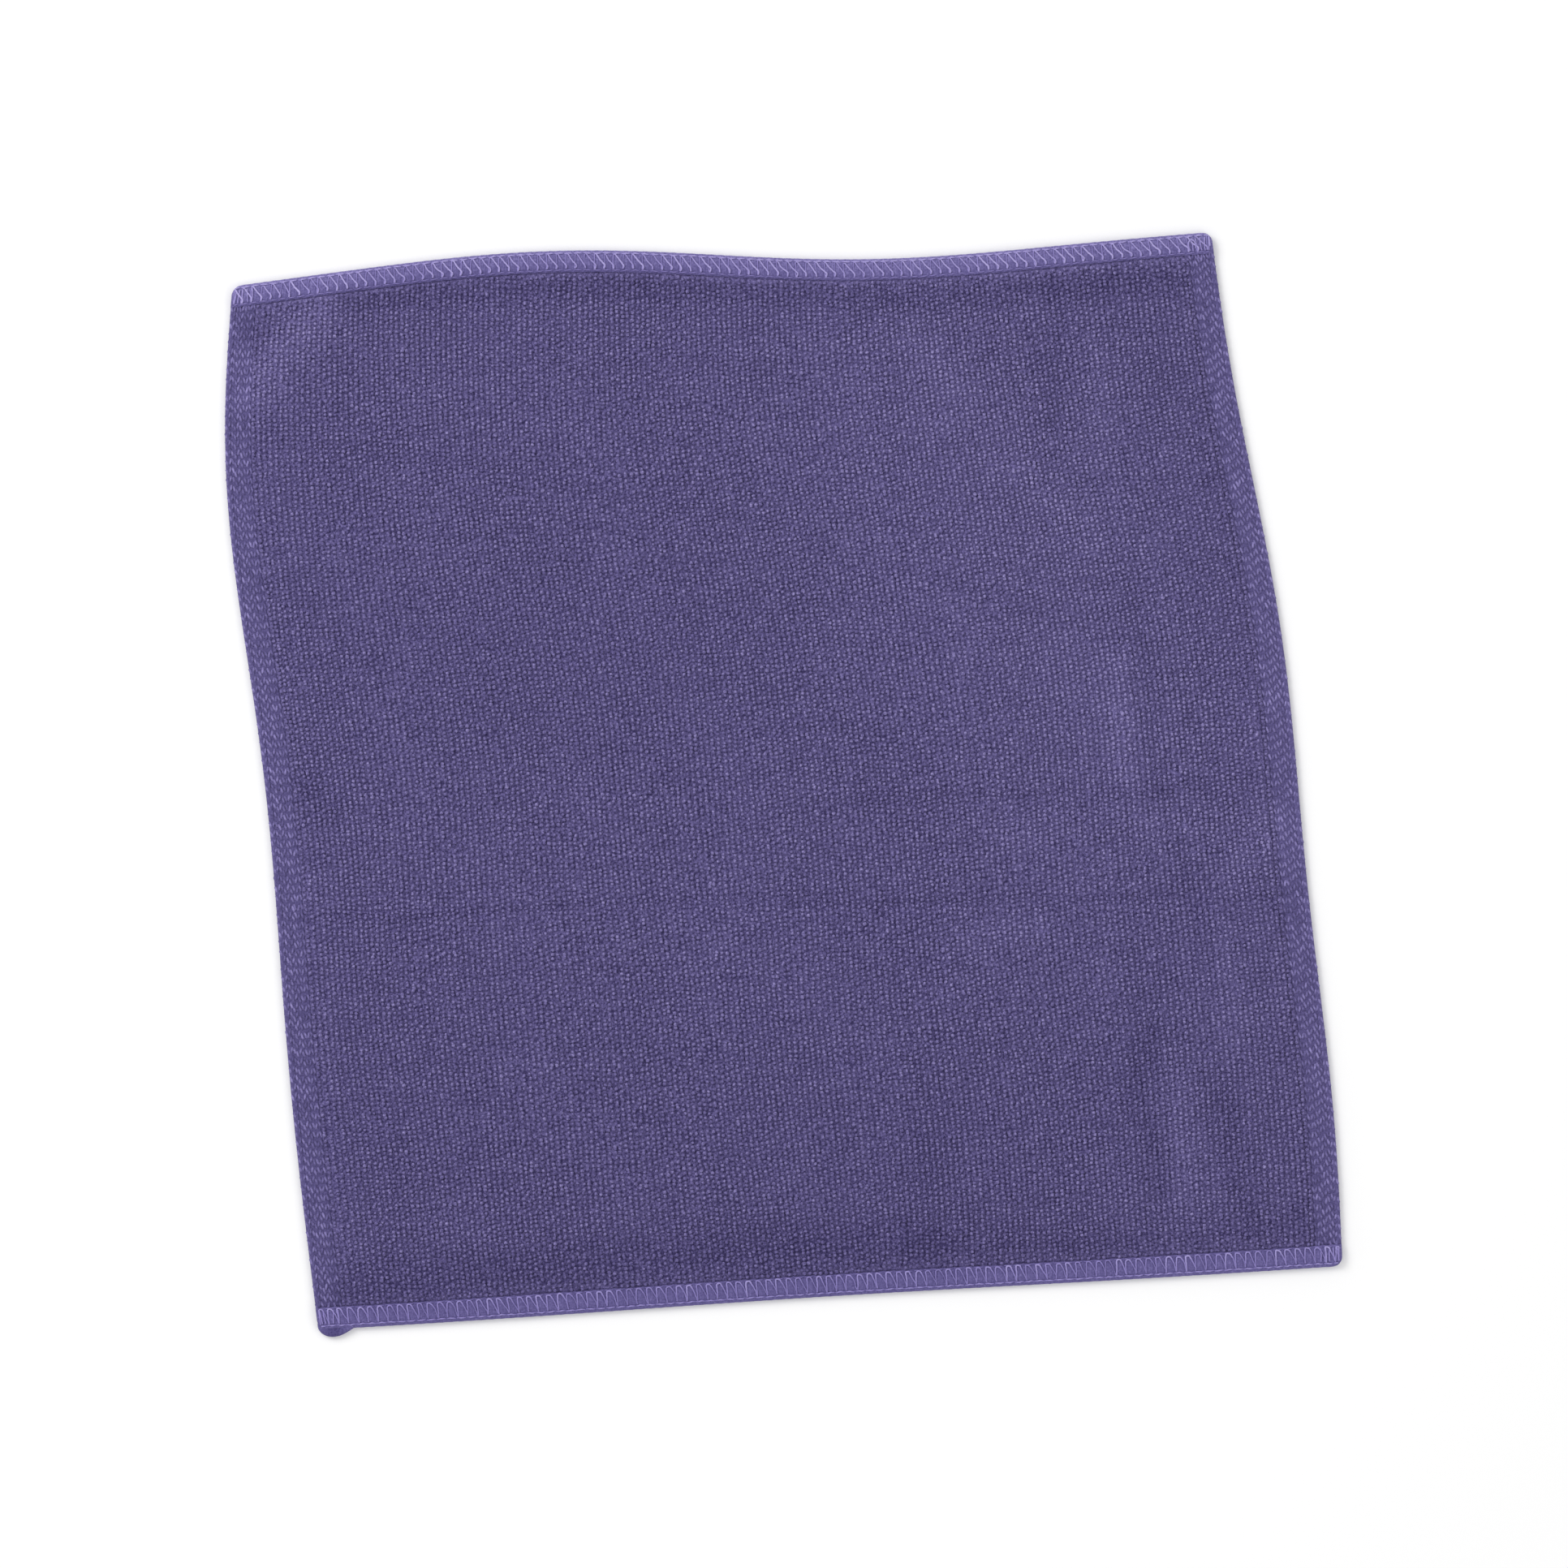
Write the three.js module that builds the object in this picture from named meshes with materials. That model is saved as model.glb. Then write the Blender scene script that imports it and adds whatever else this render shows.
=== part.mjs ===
// A quick-dry towel, laid flat. Millimetres: X runs along the hems, Y from the bottom hem to
// the top hem, and Z stands up from the table, which is at 0.
//
// The towel is one loop-pile knit with a knitted selvedge down each side. At the top and the
// bottom the knit is turned over once and bound by a three-thread overlock seam.
//
// Every piece is drawn on the flat cloth first: s is the distance from the left side edge,
// t the distance from the bottom hem's edge. lay() then gives the place where it lies.
import * as THREE from 'three';

// The laid towel, edge to edge.
const width = 294; // mean length of the two hems
const length = 306; // from hem edge to hem edge, up the middle
const taper = 13.5; // the bottom hem is this much longer than the top hem
const lean = 12.8; // the top hem lies this far to the left of the bottom hem
const tilt = 2; // the top hem's left end lies this much further up than its right end

// How far each edge waves outwards from the straight line between its corners. The numbers
// are the heights of one, two, three and four half-waves along it.
const bottomWaves = [-0.3, 0, 0.2, 0];
const topWaves = [1.5, 3.75, 0.3, -0.65];
const leftWaves = [4.3, -2.05, 1.95, -0.45];
const rightWaves = [5.1, 0.2, -0.2, 0.9];

// The knit.
const groundThickness = 0.6;
const pileHeight = 0.95; // of the loops on each side of the ground
const selvedgeWidth = 7.7;
const selvedgeThickness = 1.5;
const selvedgeRimRadius = 0.9; // the edge stitches roll into a round rim

// The hems.
const hemDepth = 6.4; // from the folded edge to the cut edge of the turned-over flap
const pressedKnit = 0.75; // one layer of knit, pressed by the seam
const foldSlot = 0.3; // between the two layers
const cornerRadius = 3;
const tuckBulge = 2; // the selvedge end tucked into one corner stands this far out of the hem
const tuckLength = 11;

// The seam's threads, pressed flat.
const threadWidth = 0.45;
const threadThickness = 0.35;
const stitchPitch = 2.86;
const chainInset = 1.5; // the row of knots where the two loopers meet, from the folded edge
const needleMargin = 0.5; // from the row of needle stitches to the flap's cut edge
const seamEndMargin = 1.6; // from the side edge to the first and the last stitch
const miterLimit = 1.6; // how far a thread's turn may point, as a multiple of half its width

const seamGap = 0.3; // between neighbouring pieces that lie edge to edge
const waveSteps = 18; // straight steps that follow one waved edge
const roundSteps = 6; // straight steps round a fold or a rim

// Heights. The hem stands on its own lower threads.
const groundTop = pileHeight + groundThickness;
const faceTop = groundTop + pileHeight;
const hemBottom = threadThickness;
const hemTop = hemBottom + 2 * pressedKnit + foldSlot;
const foldRadius = (hemTop - hemBottom) / 2;

// Places on the flat cloth.
const fieldInset = selvedgeWidth + seamGap;
const hemInset = hemDepth + seamGap;
const needleInset = hemDepth - needleMargin;
const turnReach = (threadWidth / 2) * (1 + miterLimit) + seamGap; // from a row to a looper turn
const looperOuter = chainInset + turnReach;
const looperInner = needleInset - turnReach;
const stitchCount = Math.floor((width - 2 * seamEndMargin) / stitchPitch);
const seamStart = (width - stitchCount * stitchPitch) / 2;
const seamEnd = width - seamStart;

const bottomWidth = width + taper / 2;
const topWidth = width - taper / 2;
const bottomLeft = new THREE.Vector2((lean - bottomWidth) / 2, -length / 2);
const bottomRight = new THREE.Vector2((lean + bottomWidth) / 2, -length / 2);
const topLeft = new THREE.Vector2((-lean - topWidth) / 2, (length + tilt) / 2);
const topRight = new THREE.Vector2((-lean + topWidth) / 2, (length - tilt) / 2);

function wave(heights, along) {
  return heights.reduce((sum, height, i) => sum + height * Math.sin(Math.PI * (i + 1) * along), 0);
}

function between(start, end, along) {
  return new THREE.Vector2().lerpVectors(start, end, along);
}

// Where the point (s, t) of the flat cloth lies. Each pair of opposite waved edges is blended
// across the cloth, and the two blends are added. The plain quadrilateral of the corners is
// then in both, so it is taken off once.
function lay(s, t) {
  const u = s / width;
  const v = t / length;
  const bottom = between(bottomLeft, bottomRight, u);
  const top = between(topLeft, topRight, u);
  const left = between(bottomLeft, topLeft, v);
  const right = between(bottomRight, topRight, v);
  const plain = between(bottom, top, v);
  bottom.y -= wave(bottomWaves, u);
  top.y += wave(topWaves, u);
  left.x -= wave(leftWaves, v);
  right.x += wave(rightWaves, v);
  return between(bottom, top, v).add(between(left, right, u)).sub(plain);
}

// The two hems and the two selvedges measure inwards from their own edge. The same function
// turns a distance from that edge into s or t, and s or t back into the distance.
const fromBottom = (inward) => inward;
const fromTop = (inward) => length - inward;
const fromLeft = (inward) => inward;
const fromRight = (inward) => width - inward;

// Moves each vertex of a geometry to place(x, y, z), an array of three numbers.
function moveVertices(geometry, place) {
  const position = geometry.getAttribute('position');
  for (let i = 0; i < position.count; i += 1) {
    position.setXYZ(i, ...place(position.getX(i), position.getY(i), position.getZ(i)));
  }
  geometry.computeVertexNormals();
  return geometry;
}

// Points from one place on the flat cloth towards another, without the last one.
function edgePoints(s0, t0, s1, t1) {
  const points = [];
  for (let i = 0; i < waveSteps; i += 1) {
    const along = i / waveSteps;
    points.push(lay(s0 + (s1 - s0) * along, t0 + (t1 - t0) * along));
  }
  return points;
}

// A flat layer of the field, between the selvedges and the hems, from one height to another.
function fieldLayer(lowZ, highZ) {
  const left = fromLeft(fieldInset);
  const right = fromRight(fieldInset);
  const bottom = fromBottom(hemInset);
  const top = fromTop(hemInset);
  const outline = [
    ...edgePoints(left, bottom, right, bottom),
    ...edgePoints(right, bottom, right, top),
    ...edgePoints(right, top, left, top),
    ...edgePoints(left, top, left, bottom),
  ];
  const options = { depth: 1, bevelEnabled: false };
  return moveVertices(
    new THREE.ExtrudeGeometry(new THREE.Shape(outline), options),
    (x, y, isTop) => [x, y, isTop ? highZ : lowZ],
  );
}

// A knitted selvedge: a flat band with a round rim along its side edge. Its section has x
// across the towel and y upwards, and it runs down the towel between the hems.
function selvedge(across) {
  const radius = selvedgeRimRadius;
  const section = new THREE.Shape([new THREE.Vector2(across(selvedgeWidth), 0)]);
  for (let i = 0; i <= roundSteps; i += 1) {
    const turn = Math.PI * (i / roundSteps);
    section.lineTo(across(radius - radius * Math.sin(turn)), radius - radius * Math.cos(turn));
  }
  section.lineTo(across(2 * radius), selvedgeThickness);
  section.lineTo(across(selvedgeWidth), selvedgeThickness);
  const run = length - 2 * hemInset;
  const options = { depth: run, steps: waveSteps, bevelEnabled: false };
  return moveVertices(new THREE.ExtrudeGeometry(section, options), (s, height, along) => {
    const point = lay(s, fromTop(hemInset) - along);
    return [point.x, point.y, height];
  });
}

// How far in from the side edge a rounded corner begins, at a distance from the folded edge.
function cornerInset(inward) {
  const short = Math.max(cornerRadius - inward, 0);
  return cornerRadius - Math.sqrt(cornerRadius ** 2 - short ** 2);
}

// A hem's turned-over knit: two layers with a slot between them, joined by the round fold.
// Its section has x up the towel and y upwards, and it runs along the hem.
function hemFold(upTowel) {
  const middle = hemBottom + foldRadius;
  const cornerPoints = [0.7 * cornerRadius, cornerRadius, hemDepth];
  const section = new THREE.Shape();
  section.moveTo(upTowel(hemDepth), hemBottom + pressedKnit);
  cornerPoints.toReversed().forEach((x) => section.lineTo(upTowel(x), hemBottom));
  for (let i = 0; i <= roundSteps; i += 1) {
    const turn = Math.PI * (i / roundSteps);
    const inward = foldRadius - foldRadius * Math.sin(turn);
    section.lineTo(upTowel(inward), middle - foldRadius * Math.cos(turn));
  }
  cornerPoints.forEach((x) => section.lineTo(upTowel(x), hemTop));
  section.lineTo(upTowel(hemDepth), hemTop - pressedKnit);
  section.lineTo(upTowel(foldRadius), hemTop - pressedKnit);
  section.lineTo(upTowel(foldRadius), hemBottom + pressedKnit);
  const options = { depth: width, steps: waveSteps, bevelEnabled: false };
  return moveVertices(new THREE.ExtrudeGeometry(section, options), (t, height, along) => {
    const inset = cornerInset(upTowel(t));
    const point = lay(inset + along * (1 - (2 * inset) / width), t);
    return [point.x, point.y, height];
  });
}

// The end of the left selvedge, tucked into the bottom hem's corner: a flat lump that goes
// round the corner outside the fold and tapers away along the hem.
function cornerTuck() {
  const reach = cornerRadius + seamGap;
  const startTurn = 0.08 * Math.PI; // the lump starts just below the side edge's straight part
  const crest = 0.4 * tuckLength; // where it stands out furthest
  const outline = new THREE.Shape();
  outline.absarc(cornerRadius, cornerRadius, reach, Math.PI + startTurn, 1.5 * Math.PI, false);
  outline.lineTo(tuckLength, -seamGap);
  outline.bezierCurveTo(0.75 * tuckLength, -seamGap, 0.7 * tuckLength, -tuckBulge, crest, -tuckBulge);
  outline.bezierCurveTo(crest / 4, -tuckBulge, -seamGap, -tuckBulge / 2, -seamGap, cornerRadius / 2);
  const options = { depth: hemTop - hemBottom, curveSegments: 8, bevelEnabled: false };
  return moveVertices(new THREE.ExtrudeGeometry(outline, options), (s, t, height) => {
    const point = lay(s, t);
    return [point.x, point.y, hemBottom + height];
  });
}

// A thread laid flat along a row of points, as a ribbon of the thread's width. At a turn the
// ribbon's corners move out along the turn's middle line, but no further than miterLimit.
function threadRibbon(points, z) {
  const sides = [[], []];
  points.forEach((point, i) => {
    const before = points[Math.max(i - 1, 0)];
    const after = points[Math.min(i + 1, points.length - 1)];
    const inDirection = point.clone().sub(before).normalize();
    const outDirection = after.clone().sub(point).normalize();
    const direction = inDirection.clone().add(outDirection).normalize();
    const turn = Math.max(direction.dot(i > 0 ? inDirection : outDirection), 1 / miterLimit);
    const offset = new THREE.Vector2(-direction.y, direction.x).multiplyScalar(threadWidth / 2 / turn);
    sides[0].push(point.clone().sub(offset));
    sides[1].unshift(point.clone().add(offset));
  });
  const options = { depth: threadThickness, bevelEnabled: false };
  return new THREE.ExtrudeGeometry(new THREE.Shape(sides.flat()), options).translate(0, 0, z);
}

// A row of stitches that runs straight along a hem, at t up the towel.
function straightRow(t, z) {
  return threadRibbon([...edgePoints(seamStart, t, seamEnd, t), lay(seamEnd, t)], z);
}

// A looper thread: straight up the towel across the seam, and back on a slant to where the
// next stitch starts. shift moves the row along the hem by a part of a stitch.
function looperRow(lowT, highT, z, shift) {
  const points = [];
  for (let i = 0; i < stitchCount; i += 1) {
    const s = seamStart + (i + shift) * stitchPitch;
    points.push(lay(s, lowT), lay(s, highT));
  }
  return threadRibbon(points, z);
}

const towel = new THREE.Group();

function addPiece(name, geometry, color, roughness) {
  const material = new THREE.MeshStandardMaterial({ color, roughness, metalness: 0 });
  const piece = new THREE.Mesh(geometry, material);
  piece.name = name;
  towel.add(piece);
}

const groundColor = 0x4d4572;
const pileColor = 0x58517b;
const selvedgeColor = 0x625a8b;
const hemColor = 0x6a619a;
const threadColor = 0x8a80bd;
const clothRoughness = 0.95;
const threadRoughness = 0.75;

addPiece('back_pile', fieldLayer(0, pileHeight), pileColor, clothRoughness);
addPiece('ground_knit', fieldLayer(pileHeight, groundTop), groundColor, clothRoughness);
addPiece('face_pile', fieldLayer(groundTop, faceTop), pileColor, clothRoughness);
addPiece('left_selvedge', selvedge(fromLeft), selvedgeColor, clothRoughness);
addPiece('right_selvedge', selvedge(fromRight), selvedgeColor, clothRoughness);
addPiece('bottom_left_tuck', cornerTuck(), selvedgeColor, clothRoughness);

// Both hems are sewn alike. The looper threads slant the same way in the towel's own frame,
// so the lower side of each looper row is its outer side at the bottom and inner at the top.
for (const [name, upTowel] of [['bottom', fromBottom], ['top', fromTop]]) {
  const low = Math.min(upTowel(looperOuter), upTowel(looperInner));
  const high = Math.max(upTowel(looperOuter), upTowel(looperInner));
  const thread = (part, geometry) => addPiece(`${name}_hem_${part}`, geometry, threadColor, threadRoughness);
  addPiece(`${name}_hem_fold`, hemFold(upTowel), hemColor, clothRoughness);
  thread('needle_thread', straightRow(upTowel(needleInset), hemTop));
  thread('edge_chain', straightRow(upTowel(chainInset), hemTop));
  thread('upper_looper_thread', looperRow(low, high, hemTop, 0.25));
  thread('lower_looper_thread', looperRow(low, high, 0, 0.5));
}

// The towel's box is centred over the origin.
const middle = new THREE.Box3().setFromObject(towel).getCenter(new THREE.Vector3());
towel.position.set(-middle.x, -middle.y, 0);

export default towel;
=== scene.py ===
import math

import bpy
import numpy as np
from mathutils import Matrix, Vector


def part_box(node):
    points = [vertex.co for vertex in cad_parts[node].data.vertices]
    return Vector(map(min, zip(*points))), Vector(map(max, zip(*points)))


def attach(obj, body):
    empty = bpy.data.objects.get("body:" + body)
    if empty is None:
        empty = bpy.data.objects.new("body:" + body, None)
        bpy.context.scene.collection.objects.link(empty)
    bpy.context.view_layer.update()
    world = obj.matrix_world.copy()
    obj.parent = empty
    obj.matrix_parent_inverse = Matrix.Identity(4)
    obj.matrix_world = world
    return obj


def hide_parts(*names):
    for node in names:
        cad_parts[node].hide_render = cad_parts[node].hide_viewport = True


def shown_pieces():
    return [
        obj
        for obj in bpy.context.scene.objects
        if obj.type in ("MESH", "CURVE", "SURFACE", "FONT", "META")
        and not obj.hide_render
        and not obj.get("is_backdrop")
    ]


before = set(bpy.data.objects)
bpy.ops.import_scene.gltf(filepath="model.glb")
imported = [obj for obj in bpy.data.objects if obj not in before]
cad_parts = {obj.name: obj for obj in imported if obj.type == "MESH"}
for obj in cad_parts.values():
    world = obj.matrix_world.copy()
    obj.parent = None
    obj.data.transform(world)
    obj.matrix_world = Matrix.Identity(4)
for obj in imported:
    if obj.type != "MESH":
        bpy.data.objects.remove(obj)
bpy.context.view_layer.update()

MM = 0.001

# The laid towel, edge to edge, as the CAD model has it.
WIDTH = 294 * MM  # mean length of the two hems
LENGTH = 306 * MM
TAPER = 13.5 * MM  # the bottom hem is this much longer than the top hem
LEAN = 12.8 * MM  # the top hem lies this far to the left of the bottom hem
TILT = 2 * MM  # the top hem's left end lies this much further up than its right end
BOTTOM_WAVES = np.array([-0.3, 0, 0.2, 0]) * MM  # heights of one to four half-waves, outwards
TOP_WAVES = np.array([1.5, 3.75, 0.3, -0.65]) * MM
LEFT_WAVES = np.array([4.3, -2.05, 1.95, -0.45]) * MM
RIGHT_WAVES = np.array([5.1, 0.2, -0.2, 0.9]) * MM
WAVE_STEPS = 18  # straight steps of each waved edge in the CAD model

# The knit.
PILE_HEIGHT = 0.95 * MM
GROUND_THICKNESS = 0.6 * MM
GROUND_TOP = PILE_HEIGHT + GROUND_THICKNESS
SELVEDGE_WIDTH = 7.7 * MM
SEAM_GAP = 0.3 * MM  # between neighbouring pieces that lie edge to edge
WALE_PITCH = 1.56 * MM  # between columns of loops
COURSE_PITCH = 1.33 * MM  # between loops along a column
STITCH_LENGTH = 2 * COURSE_PITCH  # of the selvedge, which is knitted over two courses

# The hems and their seam.
HEM_DEPTH = 6.4 * MM
PRESSED_KNIT = 0.75 * MM
FOLD_SLOT = 0.3 * MM
THREAD_THICKNESS = 0.35 * MM
HEM_BOTTOM = THREAD_THICKNESS
HEM_TOP = HEM_BOTTOM + 2 * PRESSED_KNIT + FOLD_SLOT
FOLD_RADIUS = (HEM_TOP - HEM_BOTTOM) / 2
CORNER_RADIUS = 3 * MM
STITCH_PITCH = 2.86 * MM
SEAM_END_MARGIN = 1.6 * MM
STITCH_COUNT = math.floor((WIDTH - 2 * SEAM_END_MARGIN) / STITCH_PITCH)
SEAM_START = (WIDTH - STITCH_COUNT * STITCH_PITCH) / 2

FIELD_INSET = SELVEDGE_WIDTH + SEAM_GAP
HEM_INSET = HEM_DEPTH + SEAM_GAP
FIELD_WIDTH = WIDTH - 2 * FIELD_INSET
FIELD_LENGTH = LENGTH - 2 * HEM_INSET
TUCKED_UNDER = 0.3 * MM  # how far the one cloth runs on into its neighbouring bands

# Swells and creases of the laid cloth, each along a line on the flat cloth: its height at the
# line and its half-width in millimetres, its painted light and shade (how much lighter or
# darker its tipped pile is painted, as light falls on it), and the line's points (s, t) in
# millimetres.
SWELLS = (
    (1.0, 6.5, 0.14, ((10, 276), (18, 286), (28, 294))),  # smooth rise in the top left corner
    (-0.3, 4.5, -0.07, ((7, 293), (9, 292))),
    (-0.2, 4.5, -0.10, ((36, 297), (159, 296), (200, 294), (282, 293))),  # inside the top hem
    (-0.3, 8.0, -0.11, ((10, 11), (96, 14), (176, 14))),  # inside the bottom hem
    (-0.2, 6.0, -0.07, ((176, 12), (284, 10))),
    (-0.5, 1.7, -0.06, ((2, 120), (39, 118), (116, 117), (217, 114), (264, 111), (292, 110))),
    (-0.3, 2.0, -0.05, ((152, 144), (180, 146), (210, 145), (257, 144), (292, 145))),
    (-0.3, 1.8, -0.04, ((10, 261), (50, 251), (89, 242), (114, 234), (152, 228), (202, 210))),
    (-0.3, 1.8, -0.04, ((202, 210), (242, 191), (261, 182))),
    (-0.3, 1.5, -0.04, ((250, 179), (270, 177), (284, 174))),
    (-0.2, 1.5, -0.04, ((247, 236), (284, 234))),
    (-0.2, 1.5, -0.03, ((170, 161), (235, 157))),
    (-0.2, 1.5, -0.03, ((60, 125), (100, 128))),
    (0.5, 4.0, 0.06, ((198, 104), (216, 106))),
    (0.6, 4.5, 0.06, ((202, 282), (214, 267))),
    (0.5, 5.0, 0.05, ((225, 245), (240, 226), (244, 215))),
    (0.7, 4.5, 0.08, ((247, 182), (245, 156), (246, 148))),
    (0.5, 4.0, 0.06, ((209, 134), (216, 132))),
    (0.6, 5.0, 0.07, ((252, 134), (262, 132))),
    (0.8, 7.0, 0.08, ((276, 120), (284, 128))),
    (0.4, 4.5, 0.05, ((258, 278), (252, 242))),
    (-0.4, 4.0, -0.06, ((246, 293), (240, 253))),
    (-0.5, 3.0, -0.05, ((253, 206), (254, 152), (261, 112), (263, 90))),
    (0.7, 4.0, 0.06, ((267, 98), (269, 68))),
    (-0.6, 4.0, -0.09, ((245, 74), (239, 58), (243, 24))),
    (0.8, 4.0, 0.07, ((253, 58), (249, 24))),
    (-0.6, 4.0, -0.08, ((263, 54), (269, 16))),
    (-0.8, 2.2, -0.16, ((282, 18), (283, 17))),  # a dimple near the bottom right corner
    (-0.3, 5.0, -0.08, ((13, 157), (15, 153))),
    (-0.3, 6.0, -0.05, ((185, 50), (177, 34))),
    (0.2, 45.0, 0.06, ((205, 270), (245, 160))),  # the right half catches more light
    (0.2, 30.0, -0.03, ((60, 190), (110, 187))),
    (0.0, 45.0, -0.04, ((20, 50), (180, 30))),
    # Painted light: both selvedges are painted lighter than the pile.
    (0.0, 8.0, 0.06, ((0, 0), (0, 306))),  # both selvedges are smoother than the pile
    (0.0, 8.0, 0.06, ((294, 0), (294, 306))),
    (0.0, 6.0, -0.06, ((0, 3), (294, 3))),  # the bottom hem lies in a little less light
    (0.0, 2.5, 0.12, ((0, 306), (294, 306))),  # and the rim of the top hem in a little more
    (0.0, 1.5, -0.05, ((0, 301), (294, 301))),
    (0.5, 9.0, 0.0, ((30, 60), (60, 110), (70, 190))),
    (0.5, 12.0, 0.0, ((130, 40), (150, 100), (140, 180))),
)
LIFT = 0.9 * MM  # how far the middle of the towel is held up by its own pile and creases
EDGE_FADE = 14 * MM  # it settles onto the table over this distance from its edges

RING_STEP = 0.7 * MM  # between the rings of a selvedge's or a hem's mesh
SOURCE_OF_CHANCE = np.random.default_rng(20)


def unit(vectors):
    """Each vector divided by its length."""
    return vectors / np.linalg.norm(vectors, axis=-1, keepdims=True)


def mix(start, end, along):
    """The point that lies the share along of the way from start to end."""
    return start + (end - start) * np.asarray(along)[..., None]


def bell(x, middle, half_width):
    """exp(-((x - middle) / half_width)^2)"""
    return np.exp(-(((x - middle) / half_width) ** 2))


def wave(heights, along):
    """A sum of half-waves: heights[i] times the sine of (i + 1) pi along."""
    return sum(h * np.sin(np.pi * (i + 1) * along) for i, h in enumerate(heights))


BOTTOM_LEFT = np.array([(LEAN - WIDTH - TAPER / 2) / 2, -LENGTH / 2])
BOTTOM_RIGHT = np.array([(LEAN + WIDTH + TAPER / 2) / 2, -LENGTH / 2])
TOP_LEFT = np.array([(-LEAN - WIDTH + TAPER / 2) / 2, (LENGTH + TILT) / 2])
TOP_RIGHT = np.array([(-LEAN + WIDTH - TAPER / 2) / 2, (LENGTH - TILT) / 2])


def spread(s, t):
    """The two blends of opposite waved edges across the cloth, added, less the plain
    quadrilateral of the corners, which is in both."""
    s, t = np.broadcast_arrays(np.asarray(s, float), np.asarray(t, float))
    u = s / WIDTH
    v = t / LENGTH
    bottom = mix(BOTTOM_LEFT, BOTTOM_RIGHT, u)
    top = mix(TOP_LEFT, TOP_RIGHT, u)
    left = mix(BOTTOM_LEFT, TOP_LEFT, v)
    right = mix(BOTTOM_RIGHT, TOP_RIGHT, v)
    plain = mix(bottom, top, v)
    bottom[..., 1] -= wave(BOTTOM_WAVES, u)
    top[..., 1] += wave(TOP_WAVES, u)
    left[..., 0] -= wave(LEFT_WAVES, v)
    right[..., 0] += wave(RIGHT_WAVES, v)
    return mix(bottom, top, v) + mix(left, right, u) - plain


def centring():
    """How far the CAD model was moved to centre its box: the lowest corner of its field,
    less the same corner of the same outline worked out here."""
    along = np.linspace(0, 1, WAVE_STEPS + 1)
    s = FIELD_INSET + FIELD_WIDTH * along
    t = HEM_INSET + FIELD_LENGTH * along
    edges = [
        spread(s, HEM_INSET),
        spread(s, LENGTH - HEM_INSET),
        spread(FIELD_INSET, t),
        spread(WIDTH - FIELD_INSET, t),
    ]
    lowest = np.array(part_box("face_pile")[0])[:2]
    return lowest - np.concatenate(edges).min(0)


CENTRING = centring()


def lay(s, t):
    """Where the flat cloth's point (s, t) lies on the table."""
    return spread(s, t) + CENTRING


def distance_to_line(s, t, line):
    """Distance on the flat cloth to the nearest point of a line of straight runs."""
    here = np.stack(np.broadcast_arrays(s, t), -1)
    nearest = np.full(here.shape[:-1], np.inf)
    for start, end in zip(line[:-1], line[1:]):
        run = end - start
        share = np.clip(((here - start) @ run) / (run @ run), 0, 1)
        gap = np.linalg.norm(here - mix(start, end, share), axis=-1)
        nearest = np.minimum(nearest, gap)
    return nearest


def swell_and_painted_shading(s, t):
    """How far the cloth is lifted, and its painted light and shade. Each swell adds its height
    and its painted light and shade times exp(-(distance / half-width)^2); near the edges the
    lift fades to nothing."""
    s, t = np.broadcast_arrays(np.asarray(s, float), np.asarray(t, float))
    edge = np.minimum(np.minimum(s, WIDTH - s), np.minimum(t, LENGTH - t))
    fade = 1 - np.exp(-np.maximum(edge, 0) / EDGE_FADE)
    lift = np.full(s.shape, LIFT)
    tone = np.ones(s.shape)
    for height, half_width, painted_light_and_shade, line in SWELLS:
        gap = distance_to_line(s, t, np.array(line) * MM)
        share = bell(gap, 0, half_width * MM)
        lift = lift + height * MM * share
        tone = tone + painted_light_and_shade * share
    return np.maximum(lift, 0) * fade, tone


def swell(s, t):
    """How far the laid cloth is lifted off the table."""
    return swell_and_painted_shading(s, t)[0]


def painted_shading_at(s, t):
    """Painted light and shade of the cloth: how light it is painted, 1 where it is plain."""
    return swell_and_painted_shading(s, t)[1]


def cloth(s, t, height):
    """Points of the laid cloth at a height over its own underside."""
    s, t, height = np.broadcast_arrays(s, t, height)
    place = lay(s, t)
    return np.concatenate([place, (swell(s, t) + height)[..., None]], -1)


# --- Meshes ---------------------------------------------------------------------------------


class Shell:
    """Closed bodies: points, faces as arrays of corner numbers with one width each, and for
    each point its tone with its painted light and shade, its place on the flat cloth and its
    place on the baked map."""

    def __init__(self, points, faces, tone, flat, chart):
        self.points = points
        self.faces = faces
        self.tone = tone
        self.flat = flat
        self.chart = chart


def volume(points, quads):
    """Volume inside closed quads: each half-quad's cone to the origin, added up."""
    corner = points[quads]
    first = np.einsum("ij,ij->i", corner[:, 0], np.cross(corner[:, 1], corner[:, 2]))
    second = np.einsum("ij,ij->i", corner[:, 0], np.cross(corner[:, 2], corner[:, 3]))
    return (first.sum() + second.sum()) / 6


def loft(rows, tone, flat):
    """A closed body through rows of closed rings, (row, ring, xyz), with a flat face at each
    end. The faces are turned outwards by the sign of the volume they hold."""
    count, ring = rows.shape[:2]
    number = np.arange(count * ring).reshape(count, ring)
    following = np.roll(number, -1, axis=1)
    quads = np.stack([number[:-1], following[:-1], following[1:], number[1:]], -1)
    quads = quads.reshape(-1, 4)
    points = rows.reshape(-1, 3)
    centred = points - points.mean(0)
    caps = [number[0][None, ::-1], number[-1][None]]
    if volume(centred, quads) < 0:
        quads = quads[:, ::-1]
        caps = [cap[:, ::-1] for cap in caps]
    around = np.abs(2 * np.arange(ring) / ring - 1)
    along = np.arange(count) / (count - 1)
    chart = np.stack(np.meshgrid(around, along), -1).reshape(-1, 2)
    return Shell(points, [quads, *caps], tone.ravel(), flat.reshape(-1, 2), chart)


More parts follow.
